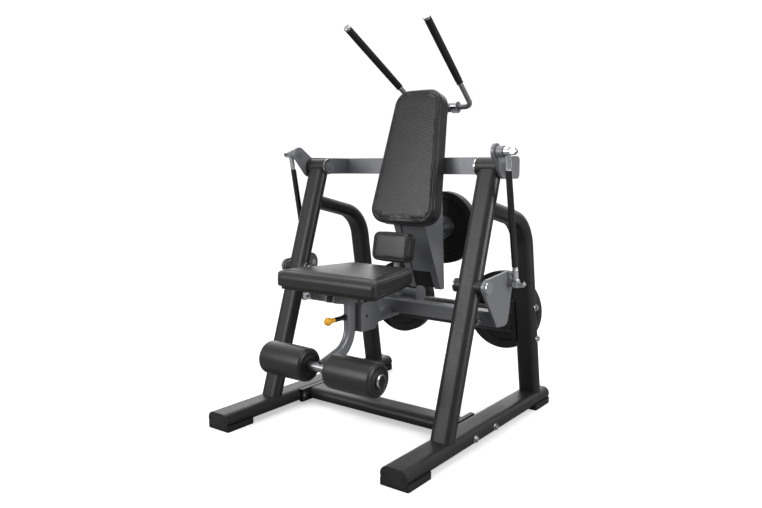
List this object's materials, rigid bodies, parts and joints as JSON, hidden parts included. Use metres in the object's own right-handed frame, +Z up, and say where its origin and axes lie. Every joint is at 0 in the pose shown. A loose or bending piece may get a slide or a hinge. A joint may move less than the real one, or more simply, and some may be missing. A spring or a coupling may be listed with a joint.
{
  "type": "abdominal crunch machine",
  "caption": "Plate-loaded seated crunch machine: a swinging backrest with overhead handles linked to a rising seat with leg rollers, in a tube frame with weight horns.",
  "frame": {"origin": "on the floor under the middle of the machine's overall box", "axes": "+Z up, +Y towards the weight horns at the back, so the user faces -Y; +X to the right when looking along +Y"},
  "size_m": [1.228, 1.284, 1.734],
  "materials": {
    "frame_paint": "satin black powder coat",
    "arm_paint": "silver grey powder coat",
    "chrome": "bright chrome plate",
    "shaft_steel": "ground steel",
    "foot_rubber": "moulded rubber",
    "cap_plastic": "moulded nylon",
    "pad_vinyl": "dark grey upholstery vinyl",
    "board": "dark stained plywood",
    "grip_rubber": "ribbed grip rubber",
    "plate_iron": "black enamelled casting",
    "core_plastic": "moulded nylon",
    "knob_plastic": "amber moulded plastic",
    "link_paint": "gloss black paint",
    "horn_steel": "polished steel sleeve"
  },
  "bodies": {
    "frame": {"base_rails": "frame_paint", "rail_end_caps": "cap_plastic", "rubber_feet": "foot_rubber", "front_uprights": "frame_paint", "rear_post_left": "frame_paint", "rear_post_right": "frame_paint", "base_cross_tube": "frame_paint", "rear_cross_tube": "frame_paint", "frame_fasteners": "chrome", "storage_horns": "horn_steel", "pivot_housings": "frame_paint", "pivot_bearings": "shaft_steel", "bearing_rings": "chrome"},
    "torso_arm": {"upper_shafts": "chrome", "upper_cranks": "arm_paint", "upper_link_pins": "chrome", "yoke_beam": "arm_paint", "back_spine": "arm_paint", "spine_bumper": "foot_rubber", "side_bars": "arm_paint", "work_horn": "horn_steel", "handle_mast": "arm_paint", "backrest_board": "board", "backrest_pad": "pad_vinyl"},
    "seat_carriage": {"lower_shafts": "chrome", "lower_cranks": "arm_paint", "lower_link_pins": "chrome", "lower_beam": "arm_paint", "seat_arm": "arm_paint", "seat_bracket": "arm_paint", "seat_board": "board", "seat_pad": "pad_vinyl", "lumbar_bracket": "arm_paint", "lumbar_board": "board", "lumbar_pad": "pad_vinyl", "travel_stops": "chrome", "arm_bolts": "chrome"},
    "leg_frame": {"leg_tube": "arm_paint", "roller_axle": "shaft_steel", "axle_end_caps": "chrome", "plunger_barrel": "link_paint"},
    "pull_pin": {"pull_pin": "shaft_steel", "pull_knob": "knob_plastic"},
    "work_plate": {"weight_plate_work": "plate_iron"},
    "handle_left": {"handle_rod_left": "arm_paint", "handle_grip_left": "grip_rubber", "grip_cap_left": "chrome"},
    "link_left": {"link_tube_left": "link_paint", "rod_ends_left": "chrome"},
    "roller_left": {"roller_pad_left": "pad_vinyl", "roller_core_left": "core_plastic"},
    "stored_plate_left": {"weight_plate_left": "plate_iron"},
    "handle_right": {"handle_rod_right": "arm_paint", "handle_grip_right": "grip_rubber", "grip_cap_right": "chrome"},
    "link_right": {"link_tube_right": "link_paint", "rod_ends_right": "chrome"},
    "roller_right": {"roller_pad_right": "pad_vinyl", "roller_core_right": "core_plastic"},
    "stored_plate_right": {"weight_plate_right": "plate_iron"}
  },
  "joints": [
    {"name": "crunch", "type": "hinge", "parent": "frame", "child": "torso_arm", "pos_m": [0, 0.02248, 1.1135], "axis": [1, 0, 0], "range_deg": [0, 28]},
    {"name": "seat_swing", "type": "hinge", "parent": "frame", "child": "seat_carriage", "pos_m": [0, -0.13219, 0.645], "axis": [1, 0, 0], "range_deg": [-12.6, 0]},
    {"name": "link_left_swing", "type": "hinge", "parent": "torso_arm", "child": "link_left", "pos_m": [-0.5735, -0.05502, 1.171], "axis": [1, 0, 0], "range_deg": [-26.6, 0]},
    {"name": "link_right_swing", "type": "hinge", "parent": "torso_arm", "child": "link_right", "pos_m": [0.5735, -0.05502, 1.171], "axis": [1, 0, 0], "range_deg": [-26.6, 0]},
    {"name": "handle_left_swivel", "type": "hinge", "parent": "torso_arm", "child": "handle_left", "pos_m": [-0.06, 0.413, 1.394], "axis": [1, 0, 0], "range_deg": [-15, 15]},
    {"name": "handle_right_swivel", "type": "hinge", "parent": "torso_arm", "child": "handle_right", "pos_m": [0.06, 0.413, 1.394], "axis": [1, 0, 0], "range_deg": [-15, 15]},
    {"name": "leg_adjust", "type": "slide", "parent": "seat_carriage", "child": "leg_frame", "axis": [0, 0, -1], "range_m": [0, 0.06]},
    {"name": "pull_pin_slide", "type": "slide", "parent": "leg_frame", "child": "pull_pin", "axis": [0, -1, 0], "range_m": [0, 0.012], "stiffness_N_per_m": 900},
    {"name": "roller_left_spin", "type": "hinge", "parent": "leg_frame", "child": "roller_left", "pos_m": [-0.174, -0.498, 0.319], "axis": [1, 0, 0], "continuous": true},
    {"name": "roller_right_spin", "type": "hinge", "parent": "leg_frame", "child": "roller_right", "pos_m": [0.174, -0.498, 0.319], "axis": [1, 0, 0], "continuous": true},
    {"name": "work_plate_slide", "type": "slide", "parent": "torso_arm", "child": "work_plate", "axis": [0, 1, 0], "range_m": [0, 0.18]},
    {"name": "stored_plate_left_slide", "type": "slide", "parent": "frame", "child": "stored_plate_left", "axis": [0, 1, 0], "range_m": [0, 0.18]},
    {"name": "stored_plate_right_slide", "type": "slide", "parent": "frame", "child": "stored_plate_right", "axis": [0, 1, 0], "range_m": [0, 0.18]}
  ],
  "couplings": [
    {"joint": "seat_swing", "follows": "crunch", "ratio": -0.44454},
    {"joint": "link_left_swing", "follows": "crunch", "ratio": -0.93893},
    {"joint": "link_right_swing", "follows": "crunch", "ratio": -0.93893}
  ]
}
